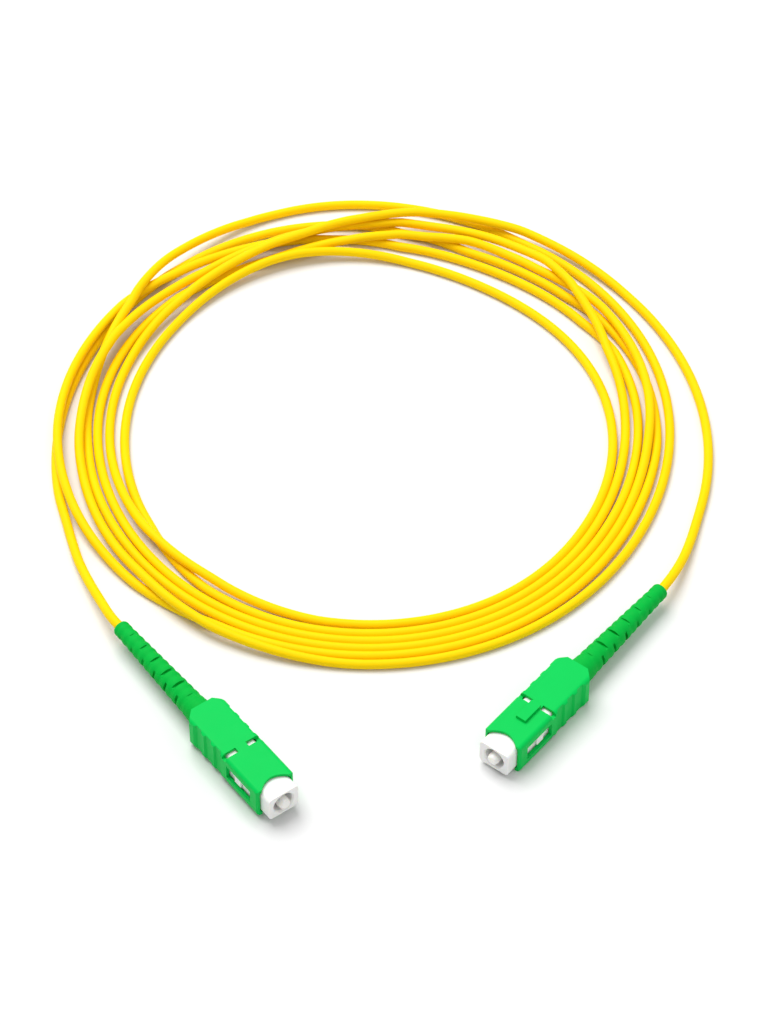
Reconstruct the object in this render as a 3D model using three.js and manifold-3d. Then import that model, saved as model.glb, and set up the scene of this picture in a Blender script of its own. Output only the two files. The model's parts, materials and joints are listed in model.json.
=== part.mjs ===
// Simplex fiber optic patch cord: two SC/APC push-pull connectors on one coiled 2 mm cable.
// Millimetres, +Z up. The cord lies on the plane z = 0, its connectors towards -Y and its coil behind them.
import * as THREE from "three";
import { mergeVertices } from "three/addons/utils/BufferGeometryUtils.js";
import Module from "manifold-3d";

const wasm = await Module();
wasm.setup();

// Clearance between pieces that touch, and facets on a round piece.
const GAP = 0.3;
const FACETS = 24;

// Cable: round jacket over a tight-buffered fiber.
const CABLE_RADIUS = 1.0;
const CABLE_FACETS = 12;
const BUFFER_RADIUS = 0.45;
const BUFFER_REAR = -24.3;
const BUFFER_FRONT = -8.7;
const BUFFER_FACETS = 8;

// Coil: the flat ring of space that the turns fill.
const COIL_CENTRE = [-1.9, 79.7, 0];
const COIL_OUTER_RADIUS = 70.8;
const COIL_INNER_RADIUS = 45.5;
const COIL_HEIGHT = 6.0;
const COIL_EDGE_RADIUS = 1.2;
const COIL_EDGE_STEPS = 2;
const COIL_FACETS = 48;

// Where each boot's tip lies from the coil's centre, and the way its ferrule points, in degrees from +X.
const TIP_A = [-53.5, -61.7];
const TIP_B = [57.2, -51.0];
const HEADING_A = -53;
const HEADING_B = -128.5;

// The cable's route from each boot's tip down to the coil, from the coil's centre.
const LEAD_ROUTE_A = [
  [-53.68, -61.46, 4.4],
  [-55.3, -59.1, 4.2],
  [-58.1, -53.3, 3.1],
  [-60.9, -47.1, 2.1],
  [-63.3, -41, 1.4],
  [-65.1, -35, 1.06],
  [-66.7, -29, 1.02],
];
const LEAD_ROUTE_B = [
  [57.39, -50.77, 3.7],
  [59.3, -47.6, 3.4],
  [62.2, -41.3, 2.2],
  [64.3, -35.2, 1.4],
  [66.0, -29.2, 1.06],
];
const LEAD_STEPS_A = 9;
const LEAD_STEPS_B = 7;

// Connector sizes. Lengths along a connector are counted forward from its housing's front edge.
const HOUSING_LENGTH = 25;
const HOUSING_WIDTH = 9.0;
const HOUSING_THICKNESS = 7.4;
const HOUSING_SIDE_WALL = 0.75;
const HOUSING_FACE_WALL = 0.65;
const HOUSING_REAR_WALL = 1.5;
const HOUSING_REAR_HOLE_RADIUS = 3.2;
const HOUSING_EDGE_CHAMFER = 1.0;
const KEY_WIDTH = 2.3;
const KEY_HEIGHT = 0.7;
const KEY_REAR = -11.1;
const KEY_FRONT = -5.9;
const KEY_ROOT = 0.4;
const SLOT_REAR = -11.8;
const SLOT_FRONT = -10.6;
const SLOT_INNER_EDGE = 1.25;
const SLOT_DEPTH = 1.0;
const WINDOW_REAR = -10.4;
const WINDOW_FRONT = -2.4;
const WINDOW_HALF_HEIGHT = 2.0;
const FRAME_FRONT = 2.7;
const FRAME_REAR = -17.5;
const FRAME_CHAMFER = 0.9;
const FRAME_CATCH_REAR = -8.2;
const FRAME_CATCH_FRONT = -6.2;
const FRAME_CATCH_HALF_HEIGHT = 1.3;
const FRAME_CATCH_HEIGHT = 0.6;
const FRAME_CATCH_ROOT = 0.3;
const FRAME_LATCH_WINDOW_REAR = -16.2;
const FRAME_LATCH_WINDOW_FRONT = -13.7;
const FRAME_LATCH_WINDOW_HALF_HEIGHT = 1.2;
const FRAME_SLEEVE_BORE_RADIUS = 2.25;
const FRAME_SPRING_BORE_RADIUS = 2.3;
const FRAME_SHOULDER_FRONT = -4.2;
const FRAME_SHOULDER_REAR = -5.2;
const FERRULE_RADIUS = 1.25;
const FERRULE_FRONT = 3.5;
const FERRULE_REAR = -7.0;
const FERRULE_POLISH_DEGREES = 8;
const FLANGE_RADIUS = 2.0;
const FLANGE_REAR = -8.0;
const BARREL_RADIUS = 1.15;
const BARREL_REAR = -11.0;
const FIBER_BORE_RADIUS = 0.75;
const SPRING_REAR = -12.7;
const SPRING_MEAN_RADIUS = 1.65;
const SPRING_WIRE_RADIUS = 0.2;
const SPRING_TURNS = 4.5;
const STOP_RING_FRONT = -13.0;
const STOP_COLLAR_FRONT = -17.8;
const STOP_COLLAR_REAR = -19.3;
const STOP_COLLAR_RADIUS = 2.8;
const STOP_NECK_REAR = -24.5;
const STOP_NECK_RADIUS = 1.4;
const STOP_RIB_PLACES = [-20.6, -21.8, -23.0];
const STOP_RIB_HEIGHT = 0.15;
const STOP_LATCH_REAR = -15.7;
const STOP_LATCH_FRONT = -14.2;
const STOP_LATCH_HALF_HEIGHT = 0.8;
const STOP_LATCH_HEIGHT = 0.8;
const STOP_LATCH_ROOT = 0.4;
const CRIMP_FRONT = -19.8;
const CRIMP_STEP = -26.5;
const CRIMP_REAR = -29.0;
const CRIMP_WALL = 0.3;
const BOOT_FRONT = -20.0;
const BOOT_TAPER_START = -27.0;
const BOOT_TIP = -54.0;
const BOOT_BASE_RADIUS = 2.7;
const BOOT_TIP_RADIUS = 1.75;
const BOOT_BORE_RADIUS = 1.3;
const BOOT_SOCKET_RADIUS = 2.3;
const BOOT_SOCKET_REAR = -29.5;
const BOOT_SLOT_COUNT = 12;
const BOOT_SLOT_PITCH = 2.05;
const BOOT_SLOT_LENGTH = 0.7;
const BOOT_SLOT_FIRST = -28.5;
const BOOT_SLOT_DEPTH = 0.75;
const BOOT_SLOT_REACH = 5;
const BOOT_SPINE_RADIUS = 1.65;

const FINISHES = {
  housing: { color: 0x05e864, roughness: 0.42, metalness: 0 },
  plug_frame: { color: 0xf4f4f0, roughness: 0.4, metalness: 0 },
  ferrule: { color: 0xf7f5ec, roughness: 0.15, metalness: 0 },
  ferrule_flange: { color: 0xc9ccd0, roughness: 0.3, metalness: 1 },
  spring: { color: 0xb9bdc2, roughness: 0.3, metalness: 1 },
  stop_ring: { color: 0xb4b8bd, roughness: 0.35, metalness: 1 },
  crimp_sleeve: { color: 0xd2c08c, roughness: 0.35, metalness: 1 },
  boot: { color: 0x00c83c, roughness: 0.6, metalness: 0 },
  cable_end: { color: 0xffe600, roughness: 0.5, metalness: 0 },
  fiber_buffer: { color: 0xf2f2ee, roughness: 0.5, metalness: 0 },
  cable: { color: 0xffe600, roughness: 0.5, metalness: 0 },
};

// ---- Solids ----

// A closed geometry as a solid that can be joined and cut.
function solidOf(geometry) {
  const bare = geometry.clone();
  bare.deleteAttribute("normal");
  bare.deleteAttribute("uv");
  const merged = mergeVertices(bare, 1e-4);
  const triVerts = new Uint32Array(merged.index.array);
  const vertProperties = merged.attributes.position.array;
  return new wasm.Manifold(new wasm.Mesh({ numProp: 3, vertProperties, triVerts }));
}

// A solid as a geometry with flat faces.
function geometryOf(solid) {
  const mesh = solid.getMesh();
  const indexed = new THREE.BufferGeometry();
  indexed.setAttribute("position", new THREE.BufferAttribute(mesh.vertProperties, 3));
  indexed.setIndex(new THREE.BufferAttribute(mesh.triVerts, 1));
  const geometry = indexed.toNonIndexed();
  geometry.computeVertexNormals();
  return geometry;
}

// A solid of revolution about the x axis. The profile is a list of [x, radius], outer side first.
function turned(profile, facets = FACETS) {
  const points = profile.map(([x, radius]) => new THREE.Vector2(radius, x));
  return new THREE.LatheGeometry(points, facets).rotateZ(-Math.PI / 2);
}

// A round bar about the x axis.
function bar(rear, front, radius, facets = FACETS) {
  return turned([[rear, 0], [rear, radius], [front, radius], [front, 0]], facets);
}

// A box given by its lowest and highest corner.
function block(low, high) {
  const size = high.map((value, i) => value - low[i]);
  const middle = high.map((value, i) => (value + low[i]) / 2);
  return new THREE.BoxGeometry(...size).translate(...middle);
}

// A y-z outline drawn out along x.
function prism(shape, rear, front) {
  const geometry = new THREE.ExtrudeGeometry(shape, { depth: front - rear, bevelEnabled: false });
  const turn = new THREE.Matrix4().makeBasis(
    new THREE.Vector3(0, 1, 0),
    new THREE.Vector3(0, 0, 1),
    new THREE.Vector3(1, 0, 0),
  );
  return geometry.applyMatrix4(turn).translate(rear, 0, 0);
}

// A rectangle about the origin with its corners cut off at 45 degrees.
function chamferedRectangle(width, height, chamfer) {
  const x = width / 2;
  const y = height / 2;
  const corners = [
    [x - chamfer, -y], [x, -y + chamfer], [x, y - chamfer], [x - chamfer, y],
    [-x + chamfer, y], [-x, y - chamfer], [-x, -y + chamfer], [-x + chamfer, -y],
  ];
  return new THREE.Shape(corners.map(([a, b]) => new THREE.Vector2(a, b)));
}

// ---- Connector pieces, about the x axis with the ferrule towards +X and the key up ----

// The housing seen from its wide face: hollowed front edge, ribbed and waisted grips, cut rear corners.
function housingOutline() {
  const half = HOUSING_WIDTH / 2;
  const side = [
    [0, half - 0.4], [-0.4, half], [-12.4, half], [-12.8, half - 0.35],
    [-14.4, half - 0.35], [-14.9, half - 0.1], [-15.6, half - 0.1], [-16.0, half - 0.45],
    [-17.6, half - 0.45], [-18.1, half - 0.2], [-18.8, half - 0.2], [-19.2, half - 0.45],
    [-20.8, half - 0.45], [-21.6, half], [-HOUSING_LENGTH + 2, half], [-HOUSING_LENGTH, half - 2],
  ];
  const ear = half - 1.2;
  const hollow = 3.2;
  const shape = new THREE.Shape();
  shape.moveTo(0, -ear);
  shape.quadraticCurveTo(-hollow, 0, 0, ear);
  side.forEach(([x, y]) => shape.lineTo(x, y));
  side.slice().reverse().forEach(([x, y]) => shape.lineTo(x, -y));
  return shape;
}

function housing() {
  const section = chamferedRectangle(HOUSING_WIDTH, HOUSING_THICKNESS, HOUSING_EDGE_CHAMFER);
  const outline = new THREE.ExtrudeGeometry(housingOutline(), {
    depth: 2 * HOUSING_THICKNESS,
    bevelEnabled: false,
    curveSegments: 12,
  }).translate(0, 0, -HOUSING_THICKNESS);
  const innerWidth = HOUSING_WIDTH - 2 * HOUSING_SIDE_WALL;
  const innerHeight = HOUSING_THICKNESS - 2 * HOUSING_FACE_WALL;
  const cavity = prism(chamferedRectangle(innerWidth, innerHeight, 0.6), HOUSING_REAR_WALL - HOUSING_LENGTH, 1);
  const rearHole = bar(-HOUSING_LENGTH - 1, HOUSING_REAR_WALL - HOUSING_LENGTH + 0.5, HOUSING_REAR_HOLE_RADIUS);
  const window = block(
    [WINDOW_REAR, -HOUSING_WIDTH, -WINDOW_HALF_HEIGHT],
    [WINDOW_FRONT, HOUSING_WIDTH, WINDOW_HALF_HEIGHT],
  );
  const top = HOUSING_THICKNESS / 2;
  const key = block([KEY_REAR, -KEY_WIDTH / 2, top - KEY_ROOT], [KEY_FRONT, KEY_WIDTH / 2, top + KEY_HEIGHT]);
  let solid = solidOf(prism(section, -HOUSING_LENGTH - 1, 1))
    .intersect(solidOf(outline))
    .subtract(solidOf(cavity))
    .subtract(solidOf(rearHole))
    .subtract(solidOf(window));
  for (const side of [-1, 1]) {
    for (const face of [-1, 1]) {
      const y = [side * SLOT_INNER_EDGE, side * HOUSING_WIDTH].sort((a, b) => a - b);
      const z = [face * (top - SLOT_DEPTH), face * HOUSING_THICKNESS].sort((a, b) => a - b);
      solid = solid.subtract(solidOf(block([SLOT_REAR, y[0], z[0]], [SLOT_FRONT, y[1], z[1]])));
    }
  }
  return geometryOf(solid.add(solidOf(key)));
}

function plugFrame() {
  const width = HOUSING_WIDTH - 2 * HOUSING_SIDE_WALL - 2 * GAP;
  const height = HOUSING_THICKNESS - 2 * HOUSING_FACE_WALL - 2 * GAP;
  const body = prism(chamferedRectangle(width, height, FRAME_CHAMFER), FRAME_REAR, FRAME_FRONT);
  const bores = [
    bar(FRAME_SHOULDER_FRONT, FRAME_FRONT + 1, FRAME_SLEEVE_BORE_RADIUS),
    bar(FRAME_SHOULDER_REAR - 1, FRAME_SHOULDER_FRONT + 1, FERRULE_RADIUS + GAP),
    bar(FRAME_REAR - 1, FRAME_SHOULDER_REAR, FRAME_SPRING_BORE_RADIUS),
    block(
      [FRAME_LATCH_WINDOW_REAR, -width, -FRAME_LATCH_WINDOW_HALF_HEIGHT],
      [FRAME_LATCH_WINDOW_FRONT, width, FRAME_LATCH_WINDOW_HALF_HEIGHT],
    ),
  ];
  let solid = solidOf(body);
  for (const side of [-1, 1]) {
    const root = side * (width / 2 - FRAME_CATCH_ROOT);
    const crest = side * (width / 2 + FRAME_CATCH_HEIGHT);
    const low = [FRAME_CATCH_REAR, Math.min(root, crest), -FRAME_CATCH_HALF_HEIGHT];
    const high = [FRAME_CATCH_FRONT, Math.max(root, crest), FRAME_CATCH_HALF_HEIGHT];
    solid = solid.add(solidOf(block(low, high)));
  }
  for (const bore of bores) {
    solid = solid.subtract(solidOf(bore));
  }
  return geometryOf(solid);
}

// The ferrule: a ceramic rod with a coned tip, its end face polished at an angle.
function ferrule() {
  const rod = turned([
    [FERRULE_REAR, 0], [FERRULE_REAR, FERRULE_RADIUS - 0.2], [FERRULE_REAR + 0.3, FERRULE_RADIUS],
    [FERRULE_FRONT - 0.9, FERRULE_RADIUS], [FERRULE_FRONT + 0.05, 0.7], [FERRULE_FRONT + 0.05, 0],
  ]);
  const polish = block([0, -3, -3], [3, 3, 3])
    .rotateY(THREE.MathUtils.degToRad(FERRULE_POLISH_DEGREES))
    .translate(FERRULE_FRONT - 0.05, 0, 0);
  return geometryOf(solidOf(rod).subtract(solidOf(polish)));
}

// The flange holds the ferrule in its front socket and guides the spring on its barrel.
function ferruleFlange() {
  const socketRadius = FERRULE_RADIUS + GAP;
  const front = FRAME_SHOULDER_REAR - GAP;
  const socketRear = FERRULE_REAR - GAP;
  return turned([
    [BARREL_REAR, BARREL_RADIUS], [FLANGE_REAR, BARREL_RADIUS], [FLANGE_REAR, FLANGE_RADIUS],
    [front - 0.3, FLANGE_RADIUS], [front, FLANGE_RADIUS - 0.3], [front, socketRadius],
    [socketRear, socketRadius], [socketRear, FIBER_BORE_RADIUS], [BARREL_REAR, FIBER_BORE_RADIUS],
    [BARREL_REAR, BARREL_RADIUS],
  ]);
}

class Helix extends THREE.Curve {
  constructor(radius, turns, rear, front) {
    super();
    Object.assign(this, { radius, turns, rear, front });
  }
  getPoint(t, target = new THREE.Vector3()) {
    const angle = 2 * Math.PI * this.turns * t;
    const x = THREE.MathUtils.lerp(this.rear, this.front, t);
    return target.set(x, this.radius * Math.cos(angle), this.radius * Math.sin(angle));
  }
}

// A round section drawn along a curve.
function tube(curve, radius, steps, sides) {
  const section = new THREE.Shape();
  for (let i = 0; i < sides; i += 1) {
    const angle = (2 * Math.PI * (i + 0.5)) / sides;
    const place = [radius * Math.cos(angle), radius * Math.sin(angle)];
    if (i === 0) section.moveTo(...place);
    else section.lineTo(...place);
  }
  return new THREE.ExtrudeGeometry(section, { extrudePath: curve, steps, bevelEnabled: false });
}

function spring() {
  const rear = SPRING_REAR + SPRING_WIRE_RADIUS;
  const front = FLANGE_REAR - GAP - SPRING_WIRE_RADIUS;
  const coils = new Helix(SPRING_MEAN_RADIUS, SPRING_TURNS, rear, front);
  return tube(coils, SPRING_WIRE_RADIUS, Math.round(14 * SPRING_TURNS), 6);
}

// The stop ring: a barrel that latches into the plug frame, a collar behind it and a ribbed crimp neck.
function stopRing() {
  const barrelRadius = FRAME_SPRING_BORE_RADIUS - GAP;
  const neckRadius = STOP_NECK_RADIUS - STOP_RIB_HEIGHT;
  const ribs = STOP_RIB_PLACES.flatMap((x) => [
    [x + 0.5, neckRadius], [x + 0.3, STOP_NECK_RADIUS],
    [x - 0.3, STOP_NECK_RADIUS], [x - 0.5, neckRadius],
  ]);
  const outerFromFront = [
    [STOP_RING_FRONT, barrelRadius], [STOP_COLLAR_FRONT, barrelRadius],
    [STOP_COLLAR_FRONT, STOP_COLLAR_RADIUS], [STOP_COLLAR_REAR, STOP_COLLAR_RADIUS],
    [STOP_COLLAR_REAR, neckRadius], ...ribs,
    [STOP_NECK_REAR, neckRadius],
  ];
  const bore = [[STOP_RING_FRONT, FIBER_BORE_RADIUS], [STOP_NECK_REAR, FIBER_BORE_RADIUS]];
  const outer = outerFromFront.reverse();
  const body = turned([...outer, ...bore, outer[0]]);
  let solid = solidOf(body);
  for (const side of [-1, 1]) {
    const root = side * (barrelRadius - STOP_LATCH_ROOT);
    const crest = side * (barrelRadius + STOP_LATCH_HEIGHT);
    const low = [STOP_LATCH_REAR, Math.min(root, crest), -STOP_LATCH_HALF_HEIGHT];
    const high = [STOP_LATCH_FRONT, Math.max(root, crest), STOP_LATCH_HALF_HEIGHT];
    solid = solid.add(solidOf(block(low, high)));
  }
  return geometryOf(solid);
}

// The crimp sleeve: a wide part round the stop ring's neck and a narrow part round the jacket.
function crimpSleeve() {
  const neckRadius = STOP_NECK_RADIUS + GAP;
  const jacketRadius = CABLE_RADIUS + GAP;
  return turned([
    [CRIMP_REAR, jacketRadius + CRIMP_WALL], [CRIMP_STEP, jacketRadius + CRIMP_WALL],
    [CRIMP_STEP, neckRadius + CRIMP_WALL], [CRIMP_FRONT, neckRadius + CRIMP_WALL],
    [CRIMP_FRONT, neckRadius], [CRIMP_STEP + CRIMP_WALL, neckRadius],
    [CRIMP_STEP + CRIMP_WALL, jacketRadius], [CRIMP_REAR, jacketRadius],
    [CRIMP_REAR, jacketRadius + CRIMP_WALL],
  ]);
}

// Radius of the boot's outside at a place along the connector.
function bootRadius(x) {
  const t = THREE.MathUtils.clamp((BOOT_TAPER_START - x) / (BOOT_TAPER_START - BOOT_TIP), 0, 1);
  return THREE.MathUtils.lerp(BOOT_BASE_RADIUS, BOOT_TIP_RADIUS, t);
}

// The boot: a tapered tube made flexible by slots that face sideways and up and down in turn.
function boot() {
  const body = turned([
    [BOOT_TIP, BOOT_TIP_RADIUS - 0.3], [BOOT_TIP + 0.3, BOOT_TIP_RADIUS],
    [BOOT_TAPER_START, BOOT_BASE_RADIUS], [BOOT_FRONT, BOOT_BASE_RADIUS],
    [BOOT_FRONT, BOOT_SOCKET_RADIUS], [BOOT_SOCKET_REAR, BOOT_SOCKET_RADIUS - 0.25],
    [BOOT_SOCKET_REAR, BOOT_BORE_RADIUS], [BOOT_TIP, BOOT_BORE_RADIUS],
    [BOOT_TIP, BOOT_TIP_RADIUS - 0.3],
  ]);
  let solid = solidOf(body);
  for (let i = 0; i < BOOT_SLOT_COUNT; i += 1) {
    const x = BOOT_SLOT_FIRST - i * BOOT_SLOT_PITCH;
    const depth = Math.max(BOOT_SPINE_RADIUS, bootRadius(x) - BOOT_SLOT_DEPTH);
    for (const side of [-1, 1]) {
      const low = Math.min(side * depth, side * BOOT_SLOT_REACH);
      const high = Math.max(side * depth, side * BOOT_SLOT_REACH);
      const slot = block([x - BOOT_SLOT_LENGTH, -BOOT_SLOT_REACH, low], [x, BOOT_SLOT_REACH, high]);
      solid = solid.subtract(solidOf(i % 2 ? slot.rotateX(Math.PI / 2) : slot));
    }
  }
  return geometryOf(solid);
}

function cableEnd() {
  return bar(BOOT_TIP, STOP_NECK_REAR - GAP, CABLE_RADIUS, CABLE_FACETS);
}

function fiberBuffer() {
  return bar(BUFFER_REAR, BUFFER_FRONT, BUFFER_RADIUS, BUFFER_FACETS);
}

// ---- Assembly ----

function piece(name, geometry, finish) {
  const mesh = new THREE.Mesh(geometry, new THREE.MeshStandardMaterial(finish));
  mesh.name = name;
  return mesh;
}

// One connector, turned so that its ferrule points along the heading and its boot's tip is at the place given.
function connector(suffix, tip, heading, keyDown) {
  const makers = {
    housing, plug_frame: plugFrame, ferrule, ferrule_flange: ferruleFlange, spring, stop_ring: stopRing,
    crimp_sleeve: crimpSleeve, boot, cable_end: cableEnd, fiber_buffer: fiberBuffer,
  };
  const rolled = new THREE.Group();
  for (const [name, make] of Object.entries(makers)) {
    rolled.add(piece(`${name}_${suffix}`, make(), FINISHES[name]));
  }
  rolled.position.x = -BOOT_TIP;
  rolled.rotation.x = keyDown ? Math.PI : 0;
  const placed = new THREE.Group();
  placed.add(rolled);
  placed.rotation.z = THREE.MathUtils.degToRad(heading);
  placed.position.set(...tip, HOUSING_THICKNESS / 2 + (keyDown ? KEY_HEIGHT : 0));
  return placed;
}

// The coil's ring: flat below, rounded at its four edges.
function coilRing() {
  const edge = COIL_EDGE_RADIUS;
  const corners = [
    [COIL_INNER_RADIUS + edge, edge, Math.PI],
    [COIL_OUTER_RADIUS - edge, edge, 1.5 * Math.PI],
    [COIL_OUTER_RADIUS - edge, COIL_HEIGHT - edge, 0],
    [COIL_INNER_RADIUS + edge, COIL_HEIGHT - edge, 0.5 * Math.PI],
  ];
  const section = corners.flatMap(([radius, z, start]) =>
    Array.from({ length: COIL_EDGE_STEPS + 1 }, (_, i) => {
      const angle = start + (i / COIL_EDGE_STEPS) * (Math.PI / 2);
      return new THREE.Vector2(radius + edge * Math.cos(angle), z + edge * Math.sin(angle));
    }),
  );
  section.push(section[0].clone());
  return new THREE.LatheGeometry(section, COIL_FACETS).rotateX(Math.PI / 2);
}

function lead(route, steps) {
  const points = route.map((place) => new THREE.Vector3(...place));
  return tube(new THREE.CatmullRomCurve3(points, false, "centripetal"), CABLE_RADIUS, steps, 8);
}

const cord = new THREE.Group();
cord.position.set(...COIL_CENTRE);
cord.add(connector("a", TIP_A, HEADING_A, true));
cord.add(connector("b", TIP_B, HEADING_B, false));
cord.add(piece("cable_coil", coilRing(), FINISHES.cable));
cord.add(piece("cable_lead_a", lead(LEAD_ROUTE_A, LEAD_STEPS_A), FINISHES.cable));
cord.add(piece("cable_lead_b", lead(LEAD_ROUTE_B, LEAD_STEPS_B), FINISHES.cable));

const patchCord = new THREE.Group();
patchCord.add(cord);

export default patchCord;
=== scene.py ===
import json
import math

import bmesh
import bpy
import numpy as np
from mathutils import Matrix, Vector


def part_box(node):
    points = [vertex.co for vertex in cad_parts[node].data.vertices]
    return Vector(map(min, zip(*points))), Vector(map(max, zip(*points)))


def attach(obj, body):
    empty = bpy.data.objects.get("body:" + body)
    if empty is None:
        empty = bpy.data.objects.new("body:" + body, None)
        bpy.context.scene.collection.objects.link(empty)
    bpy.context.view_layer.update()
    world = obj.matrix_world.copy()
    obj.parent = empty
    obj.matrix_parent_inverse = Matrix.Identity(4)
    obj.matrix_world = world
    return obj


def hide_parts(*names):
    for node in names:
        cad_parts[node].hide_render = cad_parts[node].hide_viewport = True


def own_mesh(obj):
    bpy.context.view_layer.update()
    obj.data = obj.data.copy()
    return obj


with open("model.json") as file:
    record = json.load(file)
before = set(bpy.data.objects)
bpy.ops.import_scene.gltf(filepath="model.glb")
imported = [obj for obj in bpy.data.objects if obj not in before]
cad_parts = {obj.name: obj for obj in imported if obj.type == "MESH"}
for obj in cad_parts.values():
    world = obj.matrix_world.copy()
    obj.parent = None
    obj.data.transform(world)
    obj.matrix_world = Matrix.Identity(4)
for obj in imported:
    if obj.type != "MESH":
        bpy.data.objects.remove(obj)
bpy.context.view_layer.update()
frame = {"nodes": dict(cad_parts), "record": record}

# Looks of a simplex fiber optic patch cord. Metres, +Z up, the cord lies on z = 0.
MM = 0.001

# ---- Places taken from the frame ----

COIL_LOW, COIL_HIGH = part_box("cable_coil")
COIL_CENTRE = Vector(((COIL_LOW.x + COIL_HIGH.x) / 2, (COIL_LOW.y + COIL_HIGH.y) / 2, 0))

# ---- Camera ----

CAMERA_DISTANCE = 0.800
CAMERA_ELEVATION = math.radians(46.0)
CAMERA_PITCH = math.radians(47.44)
VIEW_CENTRE = COIL_CENTRE + Vector((0.0002, 0.0015, 0))
FOCAL_LENGTH = 130.1
SENSOR_HEIGHT = 36.0
NEAR_LIMIT, FAR_LIMIT = 0.01, 20


def add_camera():
    data = bpy.data.cameras.new("camera")
    data.sensor_fit = "VERTICAL"
    data.sensor_height = SENSOR_HEIGHT
    data.lens = FOCAL_LENGTH
    data.clip_start = NEAR_LIMIT
    data.clip_end = FAR_LIMIT
    camera = bpy.data.objects.new("camera", data)
    back = Vector((0, -math.cos(CAMERA_ELEVATION), math.sin(CAMERA_ELEVATION)))
    camera.location = VIEW_CENTRE + CAMERA_DISTANCE * back
    camera.rotation_euler = (math.pi / 2 - CAMERA_PITCH, 0, 0)
    bpy.context.scene.collection.objects.link(camera)
    bpy.context.scene.camera = camera


add_camera()

# ---- The cable's route ----

CABLE_DIAMETER = 2.0 * MM

# From each boot's tip down to the coil, in millimetres from the coil's centre.
LEAD_ROUTE_A = [
    (-53.68, -61.46, 4.4),
    (-55.3, -59.1, 4.2),
    (-58.1, -53.3, 3.1),
    (-60.9, -47.1, 2.1),
    (-63.3, -41, 1.4),
    (-65.1, -35, 1.06),
    (-66.7, -29, 1.02),
]
LEAD_ROUTE_B = [
    (57.39, -50.77, 3.7),
    (59.3, -47.6, 3.4),
    (62.2, -41.3, 2.2),
    (64.3, -35.2, 1.4),
    (66.0, -29.2, 1.06),
]

# How the coil was wound, clockwise seen from above: how far out each turn lies, in millimetres, every
# 45 degrees from where lead a joins it (160 degrees from +X). A row is one turn, and lead b ends the last.
WINDING_CENTRE = (0.0, -0.5)
WINDING_START = 160
WINDING_END = 2540
TURN_STEP = 45
TURNS = [
    [72, 67, 65, 56, 58.5, 59, 64.5, 67],
    [70.5, 67.5, 60, 52.5, 55, 55, 60.5, 63],
    [61.5, 61, 56, 58, 58.5, 57, 63, 65],
    [64, 64.5, 71, 65, 62, 62, 67, 69],
    [66, 63, 59.5, 61.5, 53, 52.5, 59, 61],
    [56.5, 54.5, 55, 47, 48, 51, 56.5, 58.5],
    [59, 58.5, 58, 65.5, 67.5, 72],
]
POINTS_PER_TURN = 120
LINE_STEP = 1.5

# Passes nearer than CROSSING_GAP diameters cross, and those further than that by SIDE_SPAN lie side by side.
CROSSING_GAP = 0.35
SIDE_SPAN = 0.4
SPREAD_STEPS = 300
RETURN_RATE = 0.01
SMOOTHING_RATE = 0.25
PUSH_RATE = 0.25

# A pass rises over another that is nearer than RESTING_GAP diameters, in a hump of this many points each way.
RESTING_GAP = 0.95
HUMP_HALF_LENGTH = 4


def catmull_rom(values, at):
    """Values on whole numbers, read smoothly at the places given."""
    padded = np.concatenate([2 * values[:1] - values[1:2], values, 2 * values[-1:] - values[-2:-1]])
    base = np.clip(np.floor(at).astype(int), 0, len(values) - 2)
    t = (at - base).reshape((-1,) + (1,) * (values.ndim - 1))
    p0, p1, p2, p3 = (padded[base + i] for i in range(4))
    slope = 0.5 * (p2 - p0)
    next_slope = 0.5 * (p3 - p1)
    rise = p2 - p1
    return p1 + t * (slope + t * ((3 * rise - 2 * slope - next_slope) + t * (slope + next_slope - 2 * rise)))


def spread(radii, turn, diameter):
    """Passes that run side by side are pushed a diameter apart; those that cross are left where they are."""
    wanted = radii.copy()
    rooms = []
    for apart in range(turn, len(radii), turn):
        gap = np.abs(wanted[apart:] - wanted[:-apart]) / diameter
        share = np.clip((gap - CROSSING_GAP) / SIDE_SPAN, 0, 1)
        share = share * share * (3 - 2 * share)
        rooms.append((apart, diameter * (gap + share * np.maximum(1 - gap, 0))))
    for _ in range(SPREAD_STEPS):
        radii += RETURN_RATE * (wanted - radii)
        radii[1:-1] += SMOOTHING_RATE * (0.5 * (radii[:-2] + radii[2:]) - radii[1:-1])
        for apart, room in rooms:
            across = radii[apart:] - radii[:-apart]
            lacking = np.maximum(np.minimum(room, diameter) - np.abs(across), 0)
            push = PUSH_RATE * np.sign(across) * lacking
            radii[apart:] += push
            radii[:-apart] -= push
    return radii


def over_window(values, reach, measure):
    """The measure of each value and its neighbours as far as reach on both sides."""
    padded = np.pad(values, reach, mode="edge")
    return measure(np.lib.stride_tricks.sliding_window_view(padded, 2 * reach + 1), axis=1)


def stack(radii, turn, diameter):
    """Heights of the passes: each lies on the floor, or in long low humps over the earlier ones."""
    lowest = np.full(len(radii), diameter / 2)
    heights = lowest.copy()
    close = RESTING_GAP * diameter
    for _ in range(len(radii) // turn + 2):
        needed = lowest.copy()
        for apart in range(turn, len(radii), turn):
            across = np.abs(radii[apart:] - radii[:-apart])
            above = heights[:-apart] + np.sqrt(np.maximum(diameter ** 2 - across ** 2, 0))
            needed[apart:] = np.maximum(needed[apart:], np.where(across < close, above, 0))
        heights = over_window(over_window(needed, HUMP_HALF_LENGTH, np.max), HUMP_HALF_LENGTH, np.mean)
    return heights


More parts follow.
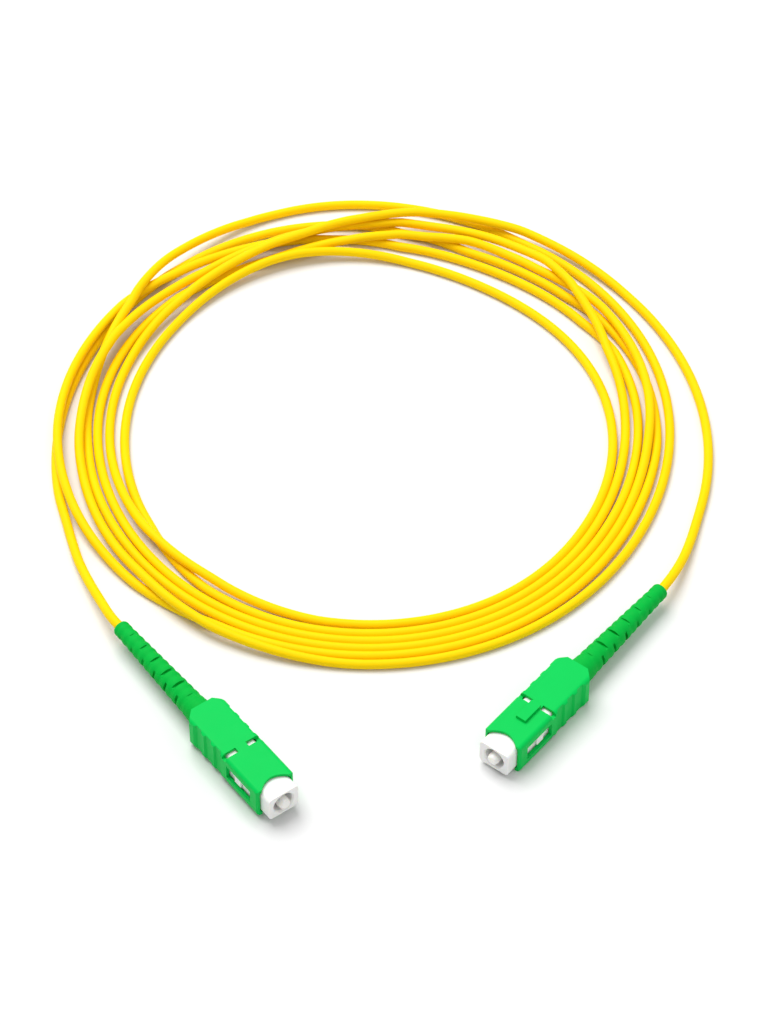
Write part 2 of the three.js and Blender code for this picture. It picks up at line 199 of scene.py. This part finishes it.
def coil_points():
    """The centreline of the coil's turns, in millimetres from the coil's centre."""
    stations = np.array([radius for turn in TURNS for radius in turn], float)
    step = 360 / POINTS_PER_TURN
    sweep = np.arange(WINDING_START + step, WINDING_END - step, step)
    diameter = CABLE_DIAMETER / MM
    radii = spread(catmull_rom(stations, (sweep - WINDING_START) / TURN_STEP), POINTS_PER_TURN, diameter)
    angle = np.radians(sweep)
    across = WINDING_CENTRE[0] + radii * np.cos(angle)
    along = WINDING_CENTRE[1] - radii * np.sin(angle)
    return np.column_stack([across, along, stack(radii, POINTS_PER_TURN, diameter)])


def smooth_line(places, spacing):
    """A smooth line through places that may be unevenly spaced, as evenly spaced points."""
    along = np.concatenate([[0], np.cumsum(np.linalg.norm(np.diff(places, axis=0), axis=1))])
    slopes = np.gradient(places, along, axis=0)
    at = np.linspace(0, along[-1], int(round(along[-1] / spacing)) + 1)
    base = np.clip(np.searchsorted(along, at, side="right") - 1, 0, len(along) - 2)
    reach = (along[base + 1] - along[base])[:, None]
    t = (at - along[base])[:, None] / reach
    rise = places[base + 1] - places[base]
    start, end = slopes[base] * reach, slopes[base + 1] * reach
    return places[base] + t * (start + t * ((3 * rise - 2 * start - end) + t * (start + end - 2 * rise)))


def cable_points():
    """The whole centreline, from boot a to boot b."""
    places = np.vstack([LEAD_ROUTE_A, coil_points(), LEAD_ROUTE_B[::-1]])
    return smooth_line(places, LINE_STEP) * MM + np.array(COIL_CENTRE)


# ---- Shapes ----


def linked(name, data):
    """A new object in the scene."""
    obj = bpy.data.objects.new(name, data)
    bpy.context.scene.collection.objects.link(obj)
    return obj


def solid(name, places, faces):
    """An object of the faces given, which all end up facing outwards."""
    mesh = bpy.data.meshes.new(name)
    mesh.from_pydata(places, [], faces)
    shape = bmesh.new()
    shape.from_mesh(mesh)
    bmesh.ops.recalc_face_normals(shape, faces=shape.faces)
    shape.to_mesh(mesh)
    shape.free()
    return linked(name, mesh)


def turned(name, profile, facets=96):
    """A solid of revolution about x from a list of (x, radius): closed on itself, or from axis to axis."""
    places, rings = [], []
    for x, radius in profile:
        count = facets if radius > 0 else 1
        rings.append(range(len(places), len(places) + count))
        for i in range(count):
            angle = 2 * math.pi * i / facets
            places.append((x, radius * math.cos(angle), radius * math.sin(angle)))
    closed = profile[0][1] > 0
    faces = []
    for first, second in zip(rings, rings[1:] + rings[:1] if closed else rings[1:]):
        for i in range(facets):
            j = (i + 1) % facets
            near = [first[i % len(first)], first[j % len(first)]]
            far = [second[j % len(second)], second[i % len(second)]]
            face = list(dict.fromkeys(near + far))
            if len(face) > 2:
                faces.append(face)
    return solid(name, places, faces)


def drawn_out(name, outline, low, high, along):
    """An outline of two coordinates, drawn out along the third axis: 0 for x, 2 for z."""
    count = len(outline)
    places = []
    for level in (low, high):
        for first, second in outline:
            places.append((level, first, second) if along == 0 else (first, second, level))
    faces = [list(range(count))[::-1], list(range(count, 2 * count))]
    faces += [[i, (i + 1) % count, count + (i + 1) % count, count + i] for i in range(count)]
    return solid(name, places, faces)


def block(low, high):
    """A box given by its lowest and highest corner."""
    outline = [(low[1], low[2]), (high[1], low[2]), (high[1], high[2]), (low[1], high[2])]
    return drawn_out("block", outline, low[0], high[0], 0)


def rounded_rectangle(width, height, radius, steps=8):
    """A rectangle about the origin with round corners."""
    outline = []
    for quarter, (side, face) in enumerate(((1, 1), (-1, 1), (-1, -1), (1, -1))):
        for i in range(steps + 1):
            angle = (quarter + i / steps) * math.pi / 2
            outline.append((side * (width / 2 - radius) + radius * math.cos(angle),
                            face * (height / 2 - radius) + radius * math.sin(angle)))
    return outline


def applied(obj):
    """obj with its modifiers made part of its mesh."""
    evaluated = obj.evaluated_get(bpy.context.evaluated_depsgraph_get())
    mesh = bpy.data.meshes.new_from_object(evaluated)
    obj.modifiers.clear()
    obj.data = mesh
    return obj


def worked(obj, operation, *tools):
    """obj cut by, joined to or kept within each tool, which is used up."""
    for tool in tools:
        modifier = obj.modifiers.new(operation, "BOOLEAN")
        modifier.operation = operation
        modifier.solver = "EXACT"
        modifier.object = tool
        applied(obj)
        bpy.data.objects.remove(tool)
    return obj


MERGE_DISTANCE = 1e-4
FLAT_ANGLE = math.radians(0.5)


def softened(obj, width, segments=2, angle=28):
    """obj with its edges rounded and its faces shaded smoothly between them."""
    shape = bmesh.new()
    shape.from_mesh(obj.data)
    bmesh.ops.remove_doubles(shape, verts=shape.verts, dist=MERGE_DISTANCE)
    bmesh.ops.dissolve_limit(shape, angle_limit=FLAT_ANGLE, verts=shape.verts, edges=shape.edges)
    shape.to_mesh(obj.data)
    shape.free()
    if width:
        bevel = obj.modifiers.new("edges", "BEVEL")
        bevel.width = width
        bevel.segments = segments
        bevel.limit_method = "ANGLE"
        bevel.angle_limit = math.radians(angle)
    obj.data.polygons.foreach_set("use_smooth", [True] * len(obj.data.polygons))
    shading = obj.modifiers.new("shading", "WEIGHTED_NORMAL")
    shading.keep_sharp = True
    return applied(obj)


def along_line(name, line, radius, sides):
    """A round wire along a line of points, with flat ends."""
    tangents = np.gradient(line, axis=0)
    tangents /= np.linalg.norm(tangents, axis=1)[:, None]
    across = np.cross(tangents, (1.0, 0.0, 0.0))
    across /= np.linalg.norm(across, axis=1)[:, None]
    third = np.cross(tangents, across)
    places = []
    for centre, first, second in zip(line, across, third):
        for i in range(sides):
            angle = 2 * math.pi * i / sides
            places.append(tuple(centre + radius * (math.cos(angle) * first + math.sin(angle) * second)))
    faces = [list(range(sides))[::-1], list(range(len(places) - sides, len(places)))]
    for row in range(len(line) - 1):
        for i in range(sides):
            j = (i + 1) % sides
            faces.append([row * sides + i, row * sides + j, (row + 1) * sides + j, (row + 1) * sides + i])
    return solid(name, places, faces)


# ---- Connector pieces, in millimetres ----
# x runs forward from the housing's front edge, y across its wide face and z up through its key.

HOUSING_LENGTH, HOUSING_WIDTH, HOUSING_THICKNESS = 25.0, 9.0, 7.4
HOUSING_CORNER = 1.0
HOUSING_EDGE = 0.12
FRONT_CORNER = 0.4
FRONT_HOLLOW = 1.6
EAR_WIDTH = 1.2
REAR_CORNER = 2
WAIST_DEPTH = 0.5
RIB_DEPTH = 0.12
CAVITY_WIDTH, CAVITY_HEIGHT, CAVITY_CORNER = 7.5, 6.1, 0.7
CAVITY_REAR = -23.5
REAR_HOLE_RADIUS = 3.2
WINDOW_REAR, WINDOW_FRONT, WINDOW_HALF_HEIGHT = -10.4, -2.4, 1.7
SLOT_REAR, SLOT_FRONT, SLOT_INNER_EDGE, SLOT_DEPTH = -11.8, -10.55, 1.25, 1
KEY_REAR, KEY_FRONT, KEY_HALF_WIDTH = -11.1, -5.9, 1.15
KEY_ROOT, KEY_HEIGHT = 0.4, 0.7

FRAME_WIDTH, FRAME_HEIGHT, FRAME_CORNER = 7.1, 5.8, 0.9
FRAME_REAR, FRAME_FRONT = -17.5, 2.7
FRAME_EDGE = 0.18
MOUTH_RADIUS, MOUTH_LIP_RADIUS = 2.25, 2.6
MOUTH_LIP_REAR, MOUTH_LIP_FRONT = 2.35, 2.8
SHOULDER_REAR, SHOULDER_FRONT, SHOULDER_RADIUS = -5.2, -4.2, 1.55
SPRING_BORE_RADIUS = 2.3
LATCH_REAR, LATCH_FRONT, LATCH_HALF_HEIGHT = -16.2, -13.7, 1.2
CATCH_REAR, CATCH_FRONT, CATCH_HALF_HEIGHT = -8.2, -6.2, 1.2
CATCH_REACH, CATCH_ROOT_SHARE = 4.05, 0.9

FERRULE_RADIUS, FERRULE_REAR, FERRULE_FRONT = 1.25, -7, 3.55
FERRULE_FACE_RADIUS, FERRULE_TIP_LENGTH = 0.75, 1.0
FERRULE_REAR_LENGTH, FERRULE_REAR_RADIUS = 0.3, 1.05
POLISH_PLACE, POLISH_ANGLE = 3.45, math.radians(8)

SPRING_REAR, SPRING_FRONT = -12.5, -8.5
SPRING_RADIUS, WIRE_RADIUS = 1.65, 0.2
SPRING_TURNS, SPRING_CLOSED_TURNS, SPRING_CLOSED_RISE = 4.5, 0.4, 0.06
SPRING_POINTS_PER_TURN, WIRE_FACETS = 48, 12

BOOT_FRONT, BOOT_TIP, BOOT_TAPER_START = -20, -54.0, -27
BOOT_BASE_RADIUS, BOOT_TIP_RADIUS = 2.7, 1.75
BOOT_BORE_RADIUS, BOOT_SOCKET_RADIUS, BOOT_SOCKET_REAR = 1.3, 2.3, -29.5
BOOT_COLLAR_RADIUS = 2.76
BOOT_SLOT_FIRST, BOOT_SLOT_PITCH, BOOT_SLOT_COUNT = -28.5, 2.05, 12
BOOT_SLOT_LENGTH, BOOT_SLOT_DEPTH, BOOT_SLOT_CORNER = 0.7, 0.7, 0.3
BOOT_SLOT_REACH = 5
BOOT_SPINE_RADIUS = 1.65
BOOT_SOCKET_COVER_RADIUS = 2.35
BOOT_WAIST_DEPTH = 0.07


def housing_outline():
    """The housing seen from its wide face, with a hollowed front, ribbed grips and cut rear corners."""
    half = HOUSING_WIDTH / 2
    ear = half - EAR_WIDTH
    waist = half - WAIST_DEPTH
    rib = half - RIB_DEPTH
    side = [
        (0, half - FRONT_CORNER), (-FRONT_CORNER, half), (-12.3, half), (-12.8, waist), (-14.5, waist),
        (-14.9, rib), (-15.7, rib), (-16.1, waist), (-17.8, waist),
        (-18.2, rib), (-19.0, rib), (-19.4, waist), (-21.0, waist),
        (-21.7, half), (REAR_CORNER - HOUSING_LENGTH, half), (-HOUSING_LENGTH, half - REAR_CORNER),
    ]
    front = [(-FRONT_HOLLOW * (1 - (y / ear) ** 2), y) for y in np.linspace(-ear, ear, 25)]
    return front + side + [(x, -y) for x, y in side[::-1]]


def housing():
    half, top = HOUSING_WIDTH / 2, HOUSING_THICKNESS / 2
    section = rounded_rectangle(HOUSING_WIDTH, HOUSING_THICKNESS, HOUSING_CORNER)
    body = drawn_out("housing", section, -HOUSING_LENGTH, 0.5, 0)
    worked(body, "INTERSECT", drawn_out("outline", housing_outline(), -top - 1, top + 1, 2))
    cavity_section = rounded_rectangle(CAVITY_WIDTH, CAVITY_HEIGHT, CAVITY_CORNER)
    cavity = drawn_out("cavity", cavity_section, CAVITY_REAR, 1, 0)
    hole_rear, hole_front = -HOUSING_LENGTH - 1, CAVITY_REAR + 0.5
    rear_hole = turned("rear_hole", [
        (hole_rear, 0), (hole_rear, REAR_HOLE_RADIUS), (hole_front, REAR_HOLE_RADIUS), (hole_front, 0),
    ])
    window = block(
        (WINDOW_REAR, -half - 1, -WINDOW_HALF_HEIGHT), (WINDOW_FRONT, half + 1, WINDOW_HALF_HEIGHT))
    worked(body, "DIFFERENCE", cavity, rear_hole, window)
    for across in (-1, 1):
        for face in (-1, 1):
            y = sorted((across * SLOT_INNER_EDGE, across * (half + 1)))
            z = sorted((face * (top - SLOT_DEPTH), face * (top + 1)))
            worked(body, "DIFFERENCE", block((SLOT_REAR, y[0], z[0]), (SLOT_FRONT, y[1], z[1])))
    key_low = (KEY_REAR, -KEY_HALF_WIDTH, top - KEY_ROOT)
    key_high = (KEY_FRONT, KEY_HALF_WIDTH, top + KEY_HEIGHT)
    worked(body, "UNION", block(key_low, key_high))
    return softened(body, HOUSING_EDGE)


def plug_frame():
    """The inner frame: a mouth for the adapter's sleeve, side catches and the stop ring's bore."""
    section = rounded_rectangle(FRAME_WIDTH, FRAME_HEIGHT, FRAME_CORNER)
    body = drawn_out("plug_frame", section, FRAME_REAR, FRAME_FRONT, 0)
    beyond = FRAME_FRONT + 0.5
    mouth = turned("mouth", [
        (SHOULDER_FRONT, 0), (SHOULDER_FRONT, MOUTH_RADIUS), (MOUTH_LIP_REAR, MOUTH_RADIUS),
        (MOUTH_LIP_FRONT, MOUTH_LIP_RADIUS), (beyond, MOUTH_LIP_RADIUS), (beyond, 0),
    ])
    rear_bore = turned("rear_bore", [
        (FRAME_REAR - 0.5, 0), (FRAME_REAR - 0.5, SPRING_BORE_RADIUS), (SHOULDER_REAR, SPRING_BORE_RADIUS),
        (SHOULDER_REAR, SHOULDER_RADIUS), (-4, SHOULDER_RADIUS), (-4, 0),
    ])
    latch_window = block((LATCH_REAR, -5, -LATCH_HALF_HEIGHT), (LATCH_FRONT, 5, LATCH_HALF_HEIGHT))
    catches = []
    for y in (-CATCH_REACH, CATCH_REACH):
        low, high = sorted((y, CATCH_ROOT_SHARE * y))
        catches.append(block((CATCH_REAR, low, -CATCH_HALF_HEIGHT), (CATCH_FRONT, high, CATCH_HALF_HEIGHT)))
    worked(body, "UNION", *catches)
    worked(body, "DIFFERENCE", mouth, rear_bore, latch_window)
    return softened(body, FRAME_EDGE, 3)


def ferrule():
    """The ceramic rod, its tip rounded and then polished off at an angle."""
    curve = FERRULE_RADIUS - FERRULE_FACE_RADIUS
    tip = [
        (FERRULE_FRONT - FERRULE_TIP_LENGTH * (1 - math.cos(a)), FERRULE_FACE_RADIUS + curve * math.sin(a))
        for a in np.linspace(0, math.pi / 2, 8)
    ]
    rear = [
        (FERRULE_REAR, 0), (FERRULE_REAR, FERRULE_REAR_RADIUS),
        (FERRULE_REAR + FERRULE_REAR_LENGTH, FERRULE_RADIUS),
    ]
    body = turned("ferrule", rear + tip[::-1] + [(FERRULE_FRONT, 0)], 64)
    polish = block((0, -3, -3), (3, 3, 3))
    polish.data.transform(Matrix.Translation((POLISH_PLACE, 0, 0)) @ Matrix.Rotation(POLISH_ANGLE, 4, "Y"))
    worked(body, "DIFFERENCE", polish)
    return softened(body, 0)


def spring():
    """A wire spring with closed ends."""
    t = np.linspace(0, 1, int(SPRING_POINTS_PER_TURN * SPRING_TURNS))
    open_turns = SPRING_TURNS - 2 * SPRING_CLOSED_TURNS
    rise = np.clip((t * SPRING_TURNS - SPRING_CLOSED_TURNS) / open_turns, 0, 1)
    angle = 2 * math.pi * SPRING_TURNS * t
    share = SPRING_CLOSED_RISE * t + (1 - SPRING_CLOSED_RISE) * rise
    x = SPRING_REAR + (SPRING_FRONT - SPRING_REAR) * share
    line = np.column_stack([x, SPRING_RADIUS * np.cos(angle), SPRING_RADIUS * np.sin(angle)])
    return softened(along_line("spring", line, WIRE_RADIUS, WIRE_FACETS), 0)


def boot_radius(x):
    """Radius of the boot's outside: a taper, with a slight waist at each slot."""
    share = min(max((BOOT_TAPER_START - x) / -BOOT_TAPER_START, 0), 1)
    taper = BOOT_BASE_RADIUS + (BOOT_TIP_RADIUS - BOOT_BASE_RADIUS) * share
    slotted_end = BOOT_SLOT_FIRST - BOOT_SLOT_COUNT * BOOT_SLOT_PITCH
    if not slotted_end < x < BOOT_SLOT_FIRST + 1:
        return taper
    slot_middle = BOOT_SLOT_FIRST - BOOT_SLOT_LENGTH / 2
    return taper - BOOT_WAIST_DEPTH * (1 + math.cos(2 * math.pi * (x - slot_middle) / BOOT_SLOT_PITCH))


def boot():
    """The strain relief: slots face up and down and sideways in turn, and none opens into the socket."""
    slope = [(x, boot_radius(x)) for x in np.linspace(-53.6, -27.4, 132)]
    profile = [(BOOT_TIP, BOOT_BORE_RADIUS), (BOOT_TIP, 1.45), (-53.9, 1.62), (-53.75, 1.7)] + slope
    profile += [
        (-27.2, BOOT_BASE_RADIUS), (-26.9, BOOT_COLLAR_RADIUS), (-24.2, BOOT_COLLAR_RADIUS),
        (-23.9, BOOT_BASE_RADIUS), (BOOT_FRONT, BOOT_BASE_RADIUS), (BOOT_FRONT, BOOT_SOCKET_RADIUS),
        (BOOT_SOCKET_REAR, BOOT_SOCKET_RADIUS - 0.25), (BOOT_SOCKET_REAR, BOOT_BORE_RADIUS),
    ]
    body = turned("boot", profile)
    outline = rounded_rectangle(BOOT_SLOT_LENGTH, 2 * BOOT_SLOT_REACH, BOOT_SLOT_CORNER)
    for i in range(BOOT_SLOT_COUNT):
        x = BOOT_SLOT_FIRST - i * BOOT_SLOT_PITCH
        covered = BOOT_SOCKET_COVER_RADIUS if x > BOOT_SOCKET_REAR - 0.5 else 0
        depth = max(BOOT_SPINE_RADIUS, boot_radius(x) - BOOT_SLOT_DEPTH, covered)
        for side in (-1, 1):
            low, high = sorted((side * depth, side * BOOT_SLOT_REACH))
            slot = drawn_out("slot", outline, low, high, 2)
            slot.data.transform(Matrix.Translation((x - BOOT_SLOT_LENGTH / 2, 0, 0)))
            if i % 2:
                slot.data.transform(Matrix.Rotation(math.pi / 2, 4, "X"))
            worked(body, "DIFFERENCE", slot)
    return softened(body, 0.06, 1, 40)


PLUG_MOUNT_ACROSS = {"a": -2.85, "b": 2.85}


def connector_matrix(end):
    """From a connector's own millimetres to its place, found from the record's joint and mount."""
    joints = {joint["name"]: joint for joint in frame["record"]["behaviour"]["joints"]}
    mounts = {mount["name"]: mount for mount in frame["record"]["mounts"]}
    joint = joints[f"sleeve_{end}_pull"]
    mount = mounts[f"plug_front_{end}"]
    forward = -Vector(joint["axis"]).normalized()
    up = Vector((0, 0, -1 if end == "a" else 1))
    across = up.cross(forward)
    middle = Vector(mount["pos_m"]) - MM * (FRAME_FRONT * forward + PLUG_MOUNT_ACROSS[end] * across)
    turn = Matrix((forward, across, up)).transposed().to_4x4()
    return Matrix.Translation(middle) @ turn @ Matrix.Scale(MM, 4)


MAKERS = {"housing": housing, "plug_frame": plug_frame, "ferrule": ferrule, "spring": spring, "boot": boot}
BODIES = {"housing": "sleeve_", "ferrule": "ferrule_set_"}
PLACES = {end: connector_matrix(end) for end in "ab"}
pieces = {}


def add_connectors():
    """Each fine piece is made once and placed in both connectors."""
    for kind, make in MAKERS.items():
        pattern = make()
        for end, place in PLACES.items():
            obj = linked(f"{kind}_{end}_fine", pattern.data.copy())
            obj.data.transform(place)
            body = BODIES[kind] + end if kind in BODIES else "cord"
            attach(obj, body)
            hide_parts(f"{kind}_{end}")
            pieces[kind, end] = obj
        bpy.data.objects.remove(pattern)
    for end, place in PLACES.items():
        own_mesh(pieces["spring", end])


add_connectors()

# ---- Cable ----


def add_cable():
    """The whole cable as one round curve, whose points hold its radius."""
    tips = [np.array(PLACES[end] @ Vector((BOOT_TIP, 0, 0))) for end in "ab"]
    points = np.vstack([tips[0], cable_points(), tips[1]])
    data = bpy.data.curves.new("cable", "CURVE")
    data.dimensions = "3D"
    data.bevel_depth = 1
    data.bevel_resolution = 6
    data.use_fill_caps = True
    spline = data.splines.new("POLY")
    spline.points.add(len(points) - 1)
    for point, place in zip(spline.points, points):
        point.co = (*place, 1)
        point.radius = CABLE_DIAMETER / 2
    spline.use_smooth = True
    obj = linked("cable", data)
    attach(obj, "cord")
    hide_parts("cable_coil", "cable_lead_a", "cable_lead_b")
    return obj


cable = add_cable()

# ---- Materials ----


def new_material(name, color, roughness, metallic=0.0, specular=0.5):
    material = bpy.data.materials.new(name)
    material.use_nodes = True
    shader = material.node_tree.nodes["Principled BSDF"]
    shader.inputs["Base Color"].default_value = (*color, 1)
    shader.inputs["Roughness"].default_value = roughness
    shader.inputs["Metallic"].default_value = metallic
    shader.inputs["Specular IOR Level"].default_value = specular
    return material, shader


def noise(tree, scale, detail):
    """A noise of the given number of waves per metre, in the piece's own coordinates."""
    places = tree.nodes.new("ShaderNodeTexCoord")
    texture = tree.nodes.new("ShaderNodeTexNoise")
    texture.inputs["Scale"].default_value = scale
    texture.inputs["Detail"].default_value = detail
    tree.links.new(places.outputs["Object"], texture.inputs["Vector"])
    return texture.outputs["Fac"]


SHEEN_SPAN = 0.08
RELIEF_DEPTH = 0.05 * MM


def varied(material, shader, color, deep, roughness, patch, grain, bump):
    """Colour drifting towards a deeper one, an uneven sheen and a fine grain, as moulded parts have."""
    tree = material.node_tree
    mix = tree.nodes.new("ShaderNodeMix")
    mix.data_type = "RGBA"
    mix.inputs["A"].default_value = (*color, 1)
    mix.inputs["B"].default_value = (*deep, 1)
    tree.links.new(noise(tree, patch, 4.0), mix.inputs["Factor"])
    tree.links.new(mix.outputs["Result"], shader.inputs["Base Color"])
    sheen = tree.nodes.new("ShaderNodeMapRange")
    sheen.inputs["To Min"].default_value = roughness - SHEEN_SPAN
    sheen.inputs["To Max"].default_value = roughness + SHEEN_SPAN
    tree.links.new(noise(tree, patch * 3, 2.0), sheen.inputs["Value"])
    tree.links.new(sheen.outputs["Result"], shader.inputs["Roughness"])
    relief = tree.nodes.new("ShaderNodeBump")
    relief.inputs["Strength"].default_value = bump
    relief.inputs["Distance"].default_value = RELIEF_DEPTH
    tree.links.new(noise(tree, grain, 2.0), relief.inputs["Height"])
    tree.links.new(relief.outputs["Normal"], shader.inputs["Normal"])


def made(name, color, deep, roughness, patch, grain, bump, metallic=0.0, specular=0.5, subsurface=0.0):
    """A finish: its two colours, roughness, waves per metre of its patches and its grain, and relief."""
    material, shader = new_material(name, color, roughness, metallic, specular)
    varied(material, shader, color, deep, roughness, patch, grain, bump)
    if subsurface:
        shader.inputs["Subsurface Weight"].default_value = subsurface
        shader.inputs["Subsurface Radius"].default_value = (1.0, 0.6, 0.3)
        shader.inputs["Subsurface Scale"].default_value = 0.4 * MM
    return material


def finish(objects, material):
    for obj in objects:
        obj.data.materials.clear()
        obj.data.materials.append(material)


MATERIALS = {
    "jacket": made(
        "jacket_yellow", (1.0, 0.69, 0.0), (1.0, 0.62, 0.0), 0.55, 120, 2500, 0.25, specular=0.08),
    "housing": made(
        "housing_green", (0.0, 0.58, 0.09), (0.0, 0.54, 0.082), 0.45, 180, 5000, 0.2, specular=0.08),
    "boot": made(
        "boot_green", (0.0, 0.46, 0.05), (0.0, 0.41, 0.043), 0.62, 220, 4000, 0.35, specular=0.08),
    "frame": made(
        "frame_white", (0.93, 0.93, 0.91), (0.88, 0.88, 0.86), 0.42, 200, 5000, 0.15, subsurface=0.2),
    "ceramic": made(
        "ferrule_ceramic", (0.95, 0.94, 0.9), (0.91, 0.9, 0.85), 0.16, 300, 8000, 0.05, subsurface=0.2),
    "nickel": made(
        "nickel", (0.66, 0.64, 0.6), (0.58, 0.56, 0.52), 0.3, 400, 9000, 0.2, metallic=1.0),
    "steel": made(
        "spring_steel", (0.6, 0.61, 0.63), (0.5, 0.51, 0.53), 0.28, 500, 9000, 0.2, metallic=1.0),
    "brass": made(
        "crimp_brass", (0.72, 0.6, 0.34), (0.62, 0.5, 0.27), 0.34, 400, 7000, 0.25, metallic=1.0),
    "buffer": made(
        "buffer_white", (0.88, 0.88, 0.85), (0.82, 0.82, 0.79), 0.5, 300, 6000, 0.15),
}
FINISH_OF = {
    "housing": "housing", "plug_frame": "frame", "ferrule": "ceramic", "spring": "steel", "boot": "boot",
    "ferrule_flange": "nickel", "stop_ring": "nickel", "crimp_sleeve": "brass", "cable_end": "jacket",
    "fiber_buffer": "buffer",
}

finish([cable], MATERIALS["jacket"])
for kind, finish_name in FINISH_OF.items():
    for end in "ab":
        piece = pieces.get((kind, end)) or frame["nodes"][f"{kind}_{end}"]
        finish([piece], MATERIALS[finish_name])

# ---- Floor and light ----

FLOOR_SIZE = 40
FLOOR_COLOR = (0.8, 0.8, 0.8)
SKY_STRENGTH = 0.5


def add_floor():
    bpy.ops.mesh.primitive_plane_add(size=FLOOR_SIZE)
    floor = bpy.context.object
    floor.name = "floor"
    material, _ = new_material("floor", FLOOR_COLOR, 0.9)
    finish([floor], material)


def add_light(name, size, place, energy):
    """A soft square light that faces the coil."""
    data = bpy.data.lights.new(name, "AREA")
    data.shape = "SQUARE"
    data.size = size
    data.energy = energy
    light = bpy.data.objects.new(name, data)
    light.location = place
    aim = COIL_CENTRE - Vector(place)
    light.rotation_euler = aim.to_track_quat("-Z", "Y").to_euler()
    bpy.context.scene.collection.objects.link(light)


def add_sky():
    world = bpy.data.worlds.new("studio")
    world.use_nodes = True
    background = world.node_tree.nodes["Background"]
    background.inputs["Color"].default_value = (1, 1, 1, 1)
    background.inputs["Strength"].default_value = SKY_STRENGTH
    bpy.context.scene.world = world


add_floor()
add_light("key", 1.2, (-0.4, 0.6, 1.5), 27)
add_light("fill", 1.5, (0.9, -0.4, 1.4), 4)
add_sky()
bpy.context.scene.view_settings.view_transform = "Standard"


bpy.context.view_layer.update()
